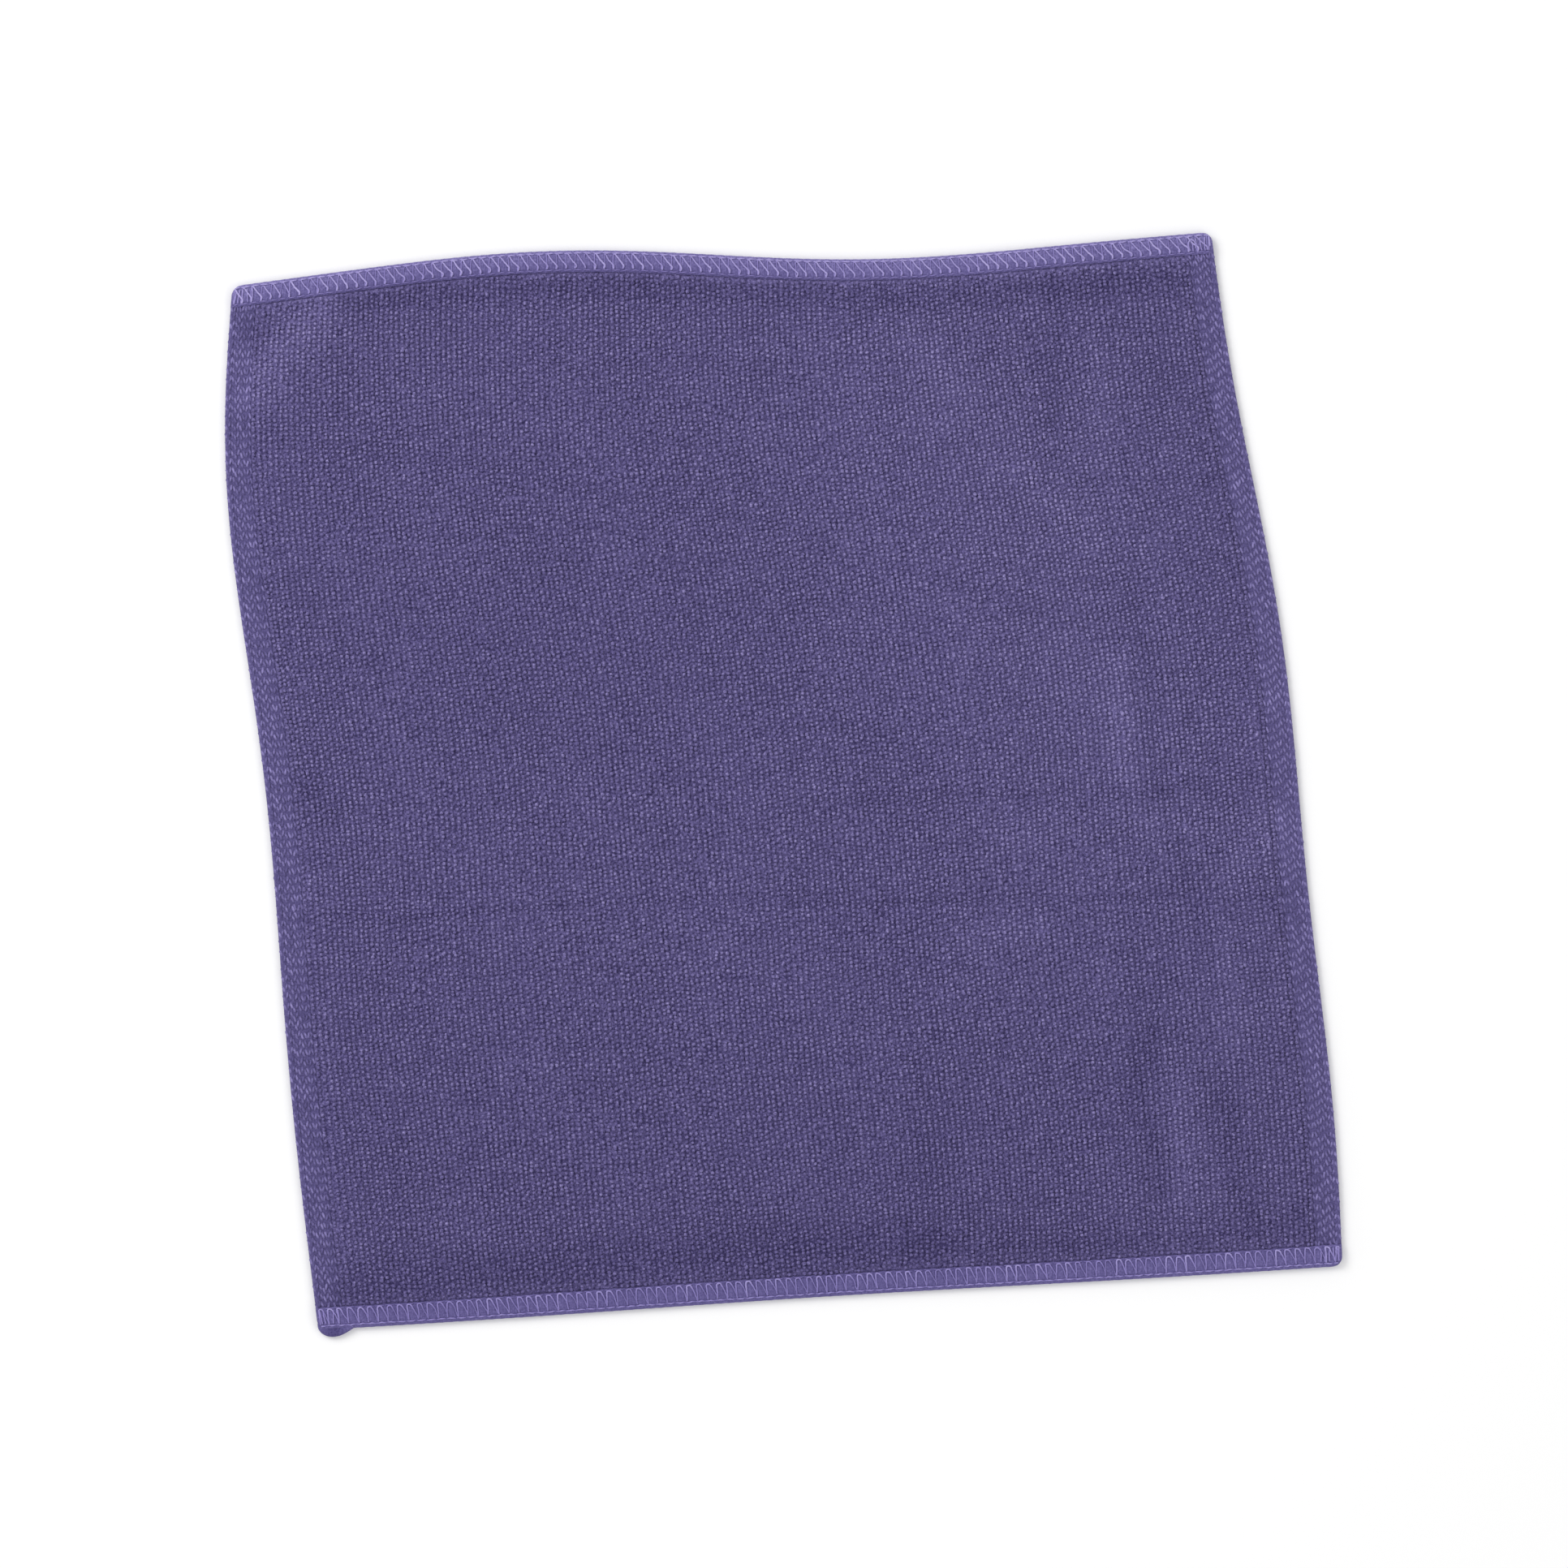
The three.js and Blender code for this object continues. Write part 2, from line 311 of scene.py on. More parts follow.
def yarn(paths, across, wide, tall, tone, flat, sides, twist=0.0, lobe=0.0):
    """Closed tubes with pointed ends, one for each row of paths. Every point but the first and
    the last carries an oval ring, wide along across and tall at right angles to it. Twist
    turns each ring on from the last, and lobe draws every other corner in, as plies do."""
    count, length = paths.shape[:2]
    rings = length - 2
    centre = paths[:, 1:-1]
    tangent = unit(paths[:, 2:] - paths[:, :-2])
    side = np.broadcast_to(across, tangent.shape)
    side = unit(side - (side * tangent).sum(-1, keepdims=True) * tangent)
    lift = np.cross(side, tangent)
    corner = np.arange(sides)
    turn = 2 * np.pi * corner / sides + twist * np.arange(rings)[:, None]
    reach = 1 - lobe * (corner % 2)
    wide = np.broadcast_to(wide, (count, rings))[..., None] * reach * np.cos(turn)
    tall = np.broadcast_to(tall, (count, rings))[..., None] * reach * np.sin(turn)
    ring = centre[:, :, None] + wide[..., None] * side[:, :, None]
    ring = ring + tall[..., None] * lift[:, :, None]
    points = np.concatenate([paths[:, :1], ring.reshape(count, -1, 3), paths[:, -1:]], 1)

    def for_each_corner(values):
        middle = np.repeat(values[:, 1:-1], sides, axis=1)
        return np.concatenate([values[:, :1], middle, values[:, -1:]], 1)

    last = rings * sides + 1
    here = 1 + corner
    following = 1 + (corner + 1) % sides
    first_fan = np.stack([np.zeros(sides, int), here, following], -1)
    shift = (rings - 1) * sides
    last_fan = np.stack([np.full(sides, last), shift + following, shift + here], -1)
    step = sides * np.arange(rings - 1)[:, None]
    quads = [here + step, here + step + sides, following + step + sides, following + step]
    quads = np.stack(quads, -1).reshape(-1, 4)
    start = (points.shape[1] * np.arange(count))[:, None, None]
    faces = [(fan[None] + start).reshape(-1, 3) for fan in (first_fan, last_fan)]
    faces.append((quads[None] + start).reshape(-1, 4))

    cells = math.ceil(math.sqrt(count))
    cell = np.stack([np.arange(count) % cells, np.arange(count) // cells], -1)[:, None]
    along = np.broadcast_to(np.arange(length) / (length - 1), (count, length))
    fold = np.abs(2 * np.arange(sides) / sides - 1)
    around = np.concatenate([[0.5], np.tile(fold, rings), [0.5]])
    inside = np.stack([for_each_corner(along), np.broadcast_to(around, points.shape[:2])], -1)
    chart = (cell + 0.1 + 0.8 * inside) / cells
    return Shell(
        points.reshape(-1, 3),
        faces,
        for_each_corner(np.broadcast_to(tone, (count, length))).ravel(),
        for_each_corner(flat).reshape(-1, 2),
        chart.reshape(-1, 2),
    )


def add_piece(name, shells, material, slot, *replaced):
    """One object from closed shells, with its place in its mesh, riding on the one body."""
    starts = np.cumsum([0] + [len(shell.points) for shell in shells[:-1]])
    points = np.concatenate([shell.points for shell in shells])
    faces = [group + start for shell, start in zip(shells, starts) for group in shell.faces]
    corners = np.concatenate([group.ravel() for group in faces])
    widths = np.concatenate([np.full(len(group), group.shape[1]) for group in faces])
    mesh = bpy.data.meshes.new(name)
    mesh.vertices.add(len(points))
    mesh.vertices.foreach_set("co", points.astype(np.float32).ravel())
    mesh.loops.add(len(corners))
    mesh.loops.foreach_set("vertex_index", corners.astype(np.int32))
    mesh.polygons.add(len(widths))
    mesh.polygons.foreach_set("loop_start", (np.cumsum(widths) - widths).astype(np.int32))
    mesh.polygons.foreach_set("use_smooth", widths <= 4)
    mesh.update(calc_edges=True)
    tone = np.concatenate([shell.tone for shell in shells]).astype(np.float32)
    mesh.attributes.new("tone", "FLOAT", "POINT").data.foreach_set("value", tone)
    flat = np.concatenate([shell.flat for shell in shells])
    flat = np.concatenate([flat, np.zeros((len(flat), 1))], -1).astype(np.float32)
    mesh.attributes.new("flat", "FLOAT_VECTOR", "POINT").data.foreach_set("vector", flat.ravel())
    chart = np.concatenate([shell.chart for shell in shells])[corners].astype(np.float32)
    mesh.uv_layers.new(name="OFBake").data.foreach_set("uv", chart.ravel())
    mesh.materials.append(material)
    piece = bpy.data.objects.new(name, mesh)
    bpy.context.scene.collection.objects.link(piece)
    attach(piece, "root")
    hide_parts(*replaced)
    return piece


# --- Materials ------------------------------------------------------------------------------

WAVE_LENGTH = 2 * math.pi / 20  # of the wave texture at a scale of 1
SHEEN_TINT = "#B9AEE6"


def linear(hex_colour):
    """An sRGB hex colour as linear red, green, blue and alpha."""
    parts = [int(hex_colour[i : i + 2], 16) / 255 for i in (1, 3, 5)]
    return [p / 12.92 if p <= 0.04045 else ((p + 0.055) / 1.055) ** 2.4 for p in parts] + [1.0]


def node(tree, kind, inputs=(), **settings):
    """Adds a node with its settings. Inputs are (socket, value or the socket to link)."""
    made = tree.nodes.new(kind)
    for name, value in settings.items():
        setattr(made, name, value)
    for socket, value in inputs:
        if isinstance(value, bpy.types.NodeSocket):
            tree.links.new(value, made.inputs[socket])
        else:
            made.inputs[socket].default_value = value
    return made


def new_material(name):
    """An empty node material."""
    material = bpy.data.materials.new(name)
    material.use_nodes = True
    material.node_tree.nodes.clear()
    return material, material.node_tree


def shade_by(tree, factor, stops):
    """A colour ramp: stops are (place, sRGB hex)."""
    ramp = node(tree, "ShaderNodeValToRGB", [("Fac", factor)])
    elements = ramp.color_ramp.elements
    for i, (place, colour) in enumerate(stops):
        element = elements[i] if i < 2 else elements.new(place)
        element.position = place
        element.color = linear(colour)
    return ramp.outputs["Color"]


def finish_cloth(tree, colour, normal, roughness, sheen, tint):
    """A matt fibre surface: weak gloss at fibre's IOR, and the soft sheen of fine filaments."""
    shader = node(
        tree,
        "ShaderNodeBsdfPrincipled",
        [
            ("Base Color", colour),
            ("Roughness", roughness),
            ("IOR", 1.5),
            ("Specular IOR Level", 0.25),
            ("Sheen Weight", sheen),
            ("Sheen Roughness", 0.45),
            ("Sheen Tint", linear(tint)),
            ("Normal", normal),
        ],
    )
    output = node(tree, "ShaderNodeOutputMaterial")
    tree.links.new(shader.outputs["BSDF"], output.inputs["Surface"])


def tone_factor(tree):
    """The piece's tone, its own tone with its painted light and shade, less a half, 0.5 where it
    is plain, plus the dye's unevenness: 0.12 * (noise - 1/2). It is held between 0 and 1."""
    tone = node(tree, "ShaderNodeAttribute", attribute_name="tone")
    place = node(tree, "ShaderNodeTexCoord")
    dye = node(
        tree,
        "ShaderNodeTexNoise",
        [("Vector", place.outputs["Object"]), ("Scale", 1 / (6 * MM)), ("Detail", 3.0)],
    )
    uneven = node(
        tree,
        "ShaderNodeMath",
        [(0, dye.outputs["Fac"]), (1, 0.12), (2, -0.56)],
        operation="MULTIPLY_ADD",
    )
    total = node(
        tree,
        "ShaderNodeMath",
        [(0, tone.outputs["Fac"]), (1, uneven.outputs["Value"])],
        operation="ADD",
        use_clamp=True,
    )
    return total.outputs["Value"]


def grained(tree, factor, size, strength):
    """A factor plus strength * (noise - 1/2), the noise soft and about size across."""
    place = node(tree, "ShaderNodeTexCoord")
    noise = node(
        tree,
        "ShaderNodeTexNoise",
        [("Vector", place.outputs["Object"]), ("Scale", 1 / size), ("Detail", 1.0)],
    )
    offset = node(
        tree,
        "ShaderNodeMath",
        [(0, noise.outputs["Fac"]), (1, strength), (2, -strength / 2)],
        operation="MULTIPLY_ADD",
    )
    total = node(
        tree,
        "ShaderNodeMath",
        [(0, factor), (1, offset.outputs["Value"])],
        operation="ADD",
    )
    return total.outputs["Value"]


def microfibre_loops():
    """Loops of split polyester and polyamide filament, dyed violet. The filaments are finer
    than the eye sees and gather in tufts half a millimetre across, so the pile looks matt,
    soft and grained."""
    material, tree = new_material("Microfibre loop pile, knitted and dyed")
    place = node(tree, "ShaderNodeTexCoord")
    factor = grained(tree, tone_factor(tree), 0.42 * MM, 1.3)
    colour = shade_by(tree, factor, [(0.0, "#40386A"), (1.0, "#A69CD0"), (0.5, "#6F669B")])
    filaments = node(
        tree,
        "ShaderNodeTexNoise",
        [("Vector", place.outputs["Object"]), ("Scale", 1 / (0.12 * MM)), ("Detail", 2.0)],
    )
    bump = node(
        tree,
        "ShaderNodeBump",
        [("Strength", 0.5), ("Distance", 0.04 * MM), ("Height", filaments.outputs["Fac"])],
    )
    finish_cloth(tree, colour, bump.outputs["Normal"], 0.92, 0.25, SHEEN_TINT)
    return material


def ribbed_knit(name, stops, grain, rib, rib_depth, sheen):
    """A knit whose wales run up the towel: ribs rib apart, broken up as stitches by a second,
    finer wave across them. Stitches make it look finely lined and matt. Grain is how strongly
    tufts of filament half a millimetre across mottle its tone."""
    material, tree = new_material(name)
    factor = grained(tree, tone_factor(tree), 0.55 * MM, grain)
    colour = shade_by(tree, factor, stops)
    flat = node(tree, "ShaderNodeAttribute", attribute_name="flat")
    wales = node(
        tree,
        "ShaderNodeTexWave",
        [
            ("Vector", flat.outputs["Vector"]),
            ("Scale", WAVE_LENGTH / rib),
            ("Distortion", 1.2),
            ("Detail", 2.0),
            ("Detail Scale", 2.0),
        ],
        bands_direction="X",
    )
    courses = node(
        tree,
        "ShaderNodeTexWave",
        [
            ("Vector", flat.outputs["Vector"]),
            ("Scale", WAVE_LENGTH / (0.8 * rib)),
            ("Distortion", 1.5),
            ("Detail", 2.0),
            ("Detail Scale", 2.0),
        ],
        bands_direction="Y",
    )
    stitches = node(
        tree,
        "ShaderNodeMath",
        [(0, courses.outputs["Fac"]), (1, 0.4), (2, wales.outputs["Fac"])],
        operation="MULTIPLY_ADD",
    )
    bump = node(
        tree,
        "ShaderNodeBump",
        [("Strength", 0.8), ("Distance", rib_depth), ("Height", stitches.outputs["Value"])],
    )
    finish_cloth(tree, colour, bump.outputs["Normal"], 0.9, sheen, SHEEN_TINT)
    return material


def overlock_thread():
    """Textured polyester sewing thread, three plies twisted: brighter than the knit, with the
    satin gloss that drawn filament has."""
    material, tree = new_material("Textured polyester overlock thread, three-ply")
    factor = tone_factor(tree)
    colour = shade_by(tree, factor, [(0.0, "#5D5390"), (1.0, "#BDB3E6"), (0.5, "#8D82C0")])
    place = node(tree, "ShaderNodeTexCoord")
    filaments = node(
        tree,
        "ShaderNodeTexNoise",
        [("Vector", place.outputs["Object"]), ("Scale", 1 / (0.1 * MM)), ("Detail", 2.0)],
    )
    bump = node(
        tree,
        "ShaderNodeBump",
        [("Strength", 0.4), ("Distance", 0.03 * MM), ("Height", filaments.outputs["Fac"])],
    )
    finish_cloth(tree, colour, bump.outputs["Normal"], 0.6, 0.3, "#D8D0FA")
    return material


def table_board():
    """White matt laminate: a plain pale ground with no gloss to draw the eye."""
    material, tree = new_material("White matt laminate")
    shader = node(
        tree,
        "ShaderNodeBsdfPrincipled",
        [("Base Color", linear("#FBFBFB")), ("Roughness", 0.9), ("Specular IOR Level", 0.1)],
    )
    output = node(tree, "ShaderNodeOutputMaterial")
    tree.links.new(shader.outputs["BSDF"], output.inputs["Surface"])
    return material


# --- The camera, the light and the table -------------------------------------------------------

VIEW_WIDTH = 459.5 * MM  # of the table that the picture takes in
VIEW_CENTRE = (1.33 * MM, -3.54 * MM)
VIEW_TURN = math.radians(3.575)  # the towel lies turned anticlockwise by this in the picture
LENS = 200.0
SENSOR = 36.0


def add_camera():
    """A long lens that looks straight down, turned the other way from the towel's own turn."""
    data = bpy.data.cameras.new("camera")
    data.lens = LENS
    data.sensor_width = SENSOR
    data.clip_end = 20
    camera = bpy.data.objects.new("camera", data)
    camera.location = (*VIEW_CENTRE, HEM_TOP + VIEW_WIDTH * LENS / SENSOR)
    camera.rotation_euler = (0, 0, -VIEW_TURN)
    bpy.context.scene.collection.objects.link(camera)
    bpy.context.scene.camera = camera


def add_light(name, place, size, power):
    """A square soft box that faces the towel."""
    data = bpy.data.lights.new(name, "AREA")
    data.shape = "SQUARE"
    data.size = size
    data.energy = power
    light = bpy.data.objects.new(name, data)
    light.location = place
    away = np.array(place) / np.linalg.norm(place)
    light.rotation_euler = (math.acos(away[2]), 0, math.atan2(away[1], away[0]) + math.pi / 2)
    bpy.context.scene.collection.objects.link(light)


def add_studio():
    """Even light from all round, one soft box from the upper left and a weaker one opposite."""
    world = bpy.data.worlds.new("studio")
    world.use_nodes = True
    world.node_tree.nodes["Background"].inputs["Color"].default_value = (1, 1, 1, 1)
    world.node_tree.nodes["Background"].inputs["Strength"].default_value = 0.76
    bpy.context.scene.world = world
    bpy.context.scene.view_settings.view_transform = "Standard"
    add_light("key", (-1.3, 1.1, 1.5), 1.2, 22)
    add_light("fill", (1.5, -1.2, 1.6), 1.2, 6)


def add_table():
    """The table top: a square 5 m wide, so that its edge is never seen."""
    half = 2.5
    corners = [(-half, -half, 0), (half, -half, 0), (half, half, 0), (-half, half, 0)]
    mesh = bpy.data.meshes.new("table")
    mesh.from_pydata(corners, [], [(0, 1, 2, 3)])
    mesh.materials.append(table_board())
    table = bpy.data.objects.new("table", mesh)
    bpy.context.scene.collection.objects.link(table)
    table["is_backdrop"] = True


# --- The knit -------------------------------------------------------------------------------

# Painted shade: the ground between the loops is painted darker by ROOT_SHADE, as if shaded by
# them.
ROOT_SHADE = 0.24  # the ground between the loops looks this much darker
PILE_MARGIN = 0.4 * MM  # from the edge of the pile to the middle of its first loops
LOOP_WIDE = 0.48 * MM  # half the width of a loop's yarn, split and fluffed out
LOOP_TALL = 0.26 * MM  # half its thickness
FACE_STRIPS = 6  # the piles are made in strips, each a mesh of moderate size
BACK_STRIPS = 3

# A loop's arch: (share of its half-span, share of its height) at each point of its yarn.
FACE_ARCH = ((-0.5, -0.05), (-1.0, 0.5), (0.0, 0.72), (1.0, 0.5), (0.5, -0.05))
BACK_ARCH = ((-0.6, -0.05), (-0.8, 0.7), (0.8, 0.7), (0.6, -0.05))

# Courses knitted tighter: (distance between them, distance over which they bend).
STREAKS = ((4.3 * MM, 41 * MM), (7.1 * MM, 29 * MM), (11.9 * MM, 57 * MM))


def ground_shell():
    """The ground knit: an upper and a lower sheet that follow the swells, a knit apart. It
    is less shaded towards the hems, where the loops no longer stand all round it."""
    step = 2.5 * MM
    s_count = round((FIELD_WIDTH + 2 * TUCKED_UNDER) / step)
    t_count = round((FIELD_LENGTH + 2 * TUCKED_UNDER) / step)
    s = np.linspace(FIELD_INSET - TUCKED_UNDER, WIDTH - FIELD_INSET + TUCKED_UNDER, s_count)
    t = np.linspace(HEM_INSET - TUCKED_UNDER, LENGTH - HEM_INSET + TUCKED_UNDER, t_count)
    ring_s = np.concatenate([s, s[::-1]])
    height = np.concatenate([np.full(s_count, PILE_HEIGHT), np.full(s_count, GROUND_TOP)])
    ring_s, ring_t = np.meshgrid(ring_s, t)
    height = np.broadcast_to(height, ring_s.shape)
    rows = cloth(ring_s, ring_t, height)
    from_hem = np.minimum(ring_t - HEM_INSET, LENGTH - HEM_INSET - ring_t)
    # Painted shade between the loops, fading out towards the hems.
    shade = ROOT_SHADE * (1 - np.exp(-np.maximum(from_hem, 0) / (1.5 * MM)))
    tone = painted_shading_at(ring_s, ring_t) - shade
    return loft(rows, tone, np.stack([ring_s, ring_t], -1))


def loop_places(wales, wale_count, course_count):
    """Roots of the loops in some of the wales: evenly spaced along wales that wander together,
    each wale set on by chance, and each loop strayed a little from its place. Both the
    wander and the straying are in shares of a wale or a course."""
    chance = SOURCE_OF_CHANCE
    wale, course = np.meshgrid(wales, np.arange(course_count), indexing="ij")
    shape = wale.shape
    from_side = np.minimum(wale, wale_count - 1 - wale)
    wander = 0.35 * np.sin(course / 31 + wale / 9) + 0.2 * np.sin(course / 12 - wale / 17)
    wander = wander * (1 - np.exp(-from_side / 1.2))
    set_on = chance.uniform(0.05, 0.95, (len(wales), 1))
    s = (wale + wander + chance.normal(0, 0.065, shape)) / (wale_count - 1)
    t = (course + set_on + chance.normal(0, 0.17, shape)) / course_count
    s = FIELD_INSET + PILE_MARGIN + (FIELD_WIDTH - 2 * PILE_MARGIN) * np.clip(s, 0, 1)
    t = HEM_INSET + FIELD_LENGTH * np.clip(t, 0.3 / course_count, 1 - 0.3 / course_count)
    return s.ravel(), t.ravel()


def loop_axes(s, t, up_sign):
    """For each loop the way it spans, the way across it, and the way it stands: at right
    angles to the swelling cloth, and turned about itself by chance."""
    step = 0.5 * MM
    slope_s = (swell(s + step, t) - swell(s - step, t)) / (2 * step)
    slope_t = (swell(s, t + step) - swell(s, t - step)) / (2 * step)
    up = up_sign * unit(np.stack([-slope_s, -slope_t, np.ones_like(s)], -1))
    yaw = SOURCE_OF_CHANCE.normal(0, math.radians(50), s.shape)
    span = np.stack([np.sin(yaw), np.cos(yaw), np.zeros_like(s)], -1)
    span = unit(span - (span * up).sum(-1, keepdims=True) * up)
    return span, np.cross(span, up), up


def streaks(s, t):
    """Courses knitted a little tighter look darker: fine waves up the towel, each bent slowly
    across it. Adds up sin(2 pi t / period + 2 sin(s / bend + t / (9 period)))."""
    total = 0.0
    for period, bend in STREAKS:
        total = total + np.sin(2 * np.pi * t / period + 2 * np.sin(s / bend + t / period / 9))
    return total


def pile_shell(s, t, root_height, up_sign, arch, sides):
    """Loops of yarn standing on the ground knit. Each is an arch through the points of arch,
    (share of its half-span, share of its height), leant over a little by chance."""
    chance = SOURCE_OF_CHANCE
    span, side, up = loop_axes(s, t, up_sign)
    count = len(s)
    from_selvedge = np.minimum(s - FIELD_INSET, WIDTH - FIELD_INSET - s)
    cropped = 1 - 0.3 * np.exp(-from_selvedge / (2 * MM))
    height = PILE_HEIGHT * cropped * (1.1 - 0.4 * chance.uniform(0, 1, count) ** 2)
    half_span = chance.uniform(0.22, 0.38, count) * MM
    lean_along = chance.normal(0, 0.12, count) * MM
    lean_across = chance.normal(0, 0.12, count) * MM
    root = cloth(s, t, root_height)
    along, rise = np.array(arch).T
    bend = np.maximum(rise, 0) ** 2
    forward = half_span[:, None] * along + lean_along[:, None] * bend * 2
    sideways = lean_across[:, None] * bend * 2
    upward = height[:, None] * rise
    paths = root[:, None] + forward[..., None] * span[:, None]
    paths = paths + sideways[..., None] * side[:, None] + upward[..., None] * up[:, None]
    thick = chance.uniform(0.8, 1.2, count)[:, None]
    tone_and_painted_shade = painted_shading_at(s, t) + np.minimum(chance.normal(0, 0.07, count), 0.09)
    # Painted shade: loops next to the selvedges are painted darker; the course streaks are added
    # too.
    tone_and_painted_shade = tone_and_painted_shade - 0.1 * np.exp(-from_selvedge / (1.2 * MM)) + 0.012 * streaks(s, t)
    # Painted light and shade: each loop is painted lighter towards its crown and a little darker
    # at its roots.
    tones = tone_and_painted_shade[:, None] + 0.06 * (np.maximum(rise, 0) - 0.1)
    flat = np.repeat(np.stack([s, t], -1)[:, None], len(arch), axis=1)
    return yarn(paths, side[:, None], LOOP_WIDE * thick, LOOP_TALL * thick, tones, flat, sides)


def add_knit(loops, ground):
    """The face pile, the back pile and the ground knit. Returns the ground knit's sheet."""
    wale_count = round(FIELD_WIDTH / WALE_PITCH)
    course_count = round(FIELD_LENGTH / COURSE_PITCH)
    for number, wales in enumerate(np.array_split(np.arange(wale_count), FACE_STRIPS), 1):
        s, t = loop_places(wales, wale_count, course_count)
        shell = pile_shell(s, t, GROUND_TOP, 1, FACE_ARCH, 4)
        add_piece(f"face_pile_strip_{number}", [shell], loops, "loop_pile", "face_pile")
    for number, wales in enumerate(np.array_split(np.arange(wale_count), BACK_STRIPS), 1):
        s, t = loop_places(wales, wale_count, course_count)
        shell = pile_shell(s, t, PILE_HEIGHT, -1, BACK_ARCH, 3)
        add_piece(f"back_pile_strip_{number}", [shell], loops, "loop_pile", "back_pile")
    return add_piece("ground_sheet", [ground_shell()], ground, "ground_knit", "ground_knit")


# --- The selvedges --------------------------------------------------------------------------

RIM_RADIUS = 0.85 * MM
BAND_MIDDLE = 1.02 * MM  # height of the middle of the band's thickness
BED_EDGE = 1.9 * MM  # the flat bed ends and the groove begins this far from the side edge
BED_HALF = 0.36 * MM  # half its thickness
GROOVE = (1.72 * MM, 0.32 * MM)  # its distance from the side edge and half-thickness
STITCH_COLUMNS = (0.5, 1.3, 2.15, 3.0, 3.85, 4.7, 5.55, 6.4, 7.3)  # mm from the side edge
STITCH_SLANT = 0.32 * MM  # half of how far a stitch leans across its column
STITCH_HALF = 1.12 * MM  # half of its length up the towel
# Painted shade: the knit under the stitches is painted darker by BED_SHADE.
BED_SHADE = 0.22  # the knit under the stitches looks this much darker


def selvedge_section():
    """Half of the band's section, from its inner edge to the side edge: the flat bed of the
    stitches, a groove, and the rolled rim, an arc of a circle. Each point is (distance from
    the side edge, half-thickness)."""
    bed_x = np.linspace(SELVEDGE_WIDTH, BED_EDGE, 9)
    bed = np.stack([bed_x, np.full(9, BED_HALF)], -1)
    turn = np.linspace(0.12 * np.pi, np.pi, 8)
    rim = RIM_RADIUS * np.stack([1 + np.cos(turn), np.sin(turn)], -1)
    return np.concatenate([bed, [GROOVE], rim])


def selvedge_shells(from_side):
    """The band, and on both its faces columns of long stitches that lean one way, every third
    the other way, each column set on by chance. The rim ripples with the stitches."""
    half = selvedge_section()
    x = np.concatenate([half[:, 0], half[-2:0:-1, 0], half[:1, 0]])
    y = BAND_MIDDLE + np.concatenate([half[:, 1], -half[-2:0:-1, 1], -half[:1, 1]])
    start = HEM_INSET - TUCKED_UNDER
    end = LENGTH - start
    t = np.linspace(start, end, round((end - start) / RING_STEP))
    ring_x, ring_t = np.meshgrid(x, t)
    ripple = 0.05 * MM * np.cos(2 * np.pi * ring_t / STITCH_LENGTH)
    ring_y = np.broadcast_to(y, ring_x.shape)
    ring_y = ring_y + ripple * np.sign(ring_y - BAND_MIDDLE) * (ring_x < 2 * RIM_RADIUS)
    ring_s = from_side(ring_x)
    rows = cloth(ring_s, ring_t, ring_y)
    # Painted shade: the band is painted darker by BED_SHADE.
    tone = painted_shading_at(ring_s, ring_t) - BED_SHADE
    band = loft(rows, tone, np.stack([ring_s, ring_t], -1))

    chance = SOURCE_OF_CHANCE
    columns = np.array(STITCH_COLUMNS) * MM
    rows_up = np.arange(start, end, STITCH_LENGTH)
    column, row = np.meshgrid(columns, rows_up, indexing="ij")
    shape = column.shape
    row = row + chance.uniform(0, STITCH_LENGTH, (len(columns), 1))
    lean = np.where(np.arange(len(columns)) % 3 == 1, -1, 1)
    slant = np.broadcast_to(STITCH_SLANT * lean[:, None], shape).reshape(-1, 1)
    round_rim = np.sqrt(np.maximum(RIM_RADIUS**2 - (column - RIM_RADIUS) ** 2, 0))
    crown = np.maximum(round_rim - 0.04 * MM, 0.56 * MM).reshape(-1, 1)
    s_middle = (from_side(column) + chance.normal(0, 0.06 * MM, shape)).ravel()
    t_middle = row + chance.normal(0, 0.12 * MM, shape)
    t_middle = np.clip(t_middle, start + 0.5 * MM, end - 0.5 * MM).ravel()
    along = np.array([-1.0, -0.62, 0.0, 0.62, 1.0])
    strokes_s = s_middle[:, None] + slant * along
    strokes_t = t_middle[:, None] - STITCH_HALF * along
    dip = 0.3 * MM * along**2
    flat = np.stack([strokes_s, strokes_t], -1)
    tone = painted_shading_at(s_middle, t_middle) + chance.normal(0, 0.09, len(s_middle))
    shells = [band]
    for face in (1, -1):
        height = BAND_MIDDLE + face * (crown - dip)
        paths = cloth(strokes_s, strokes_t, height)
        # Painted light and shade: each stitch is painted lighter at its crown and darker towards
        # its ends, where it dips into the knit.
        tones = tone[:, None] + 0.12 - 0.32 * along**2
        across = np.array([face, 0.0, 0.0])
        shells.append(yarn(paths, across, 0.38 * MM, 0.26 * MM, tones, flat, 4))
    return shells


# --- The hems -------------------------------------------------------------------------------


def corner_inset(inward):
    """How far in from the side edge a rounded corner begins, at a distance from the fold."""
    short = np.maximum(CORNER_RADIUS - inward, 0)
    return CORNER_RADIUS - np.sqrt(CORNER_RADIUS**2 - short**2)


class Hem:
    """What differs between the hems: the name, where a distance from the fold lies up the
    towel, the distances of the chain row, the needle row and the sewn-down edge from the
    fold, and how the looper thread lies: how far it runs on along the high row, how far its
    slant hooks past the next stitch, and how thick it is at the six corners of a stitch."""

    def __init__(self, name, up_towel, chain, needle, flap_edge, run_on, hook, thickness):
        self.name = name
        self.up_towel = up_towel
        self.chain = chain
        self.needle = needle
        self.flap_edge = flap_edge
        self.run_on = run_on
        self.hook = hook
        self.thickness = np.array(thickness)


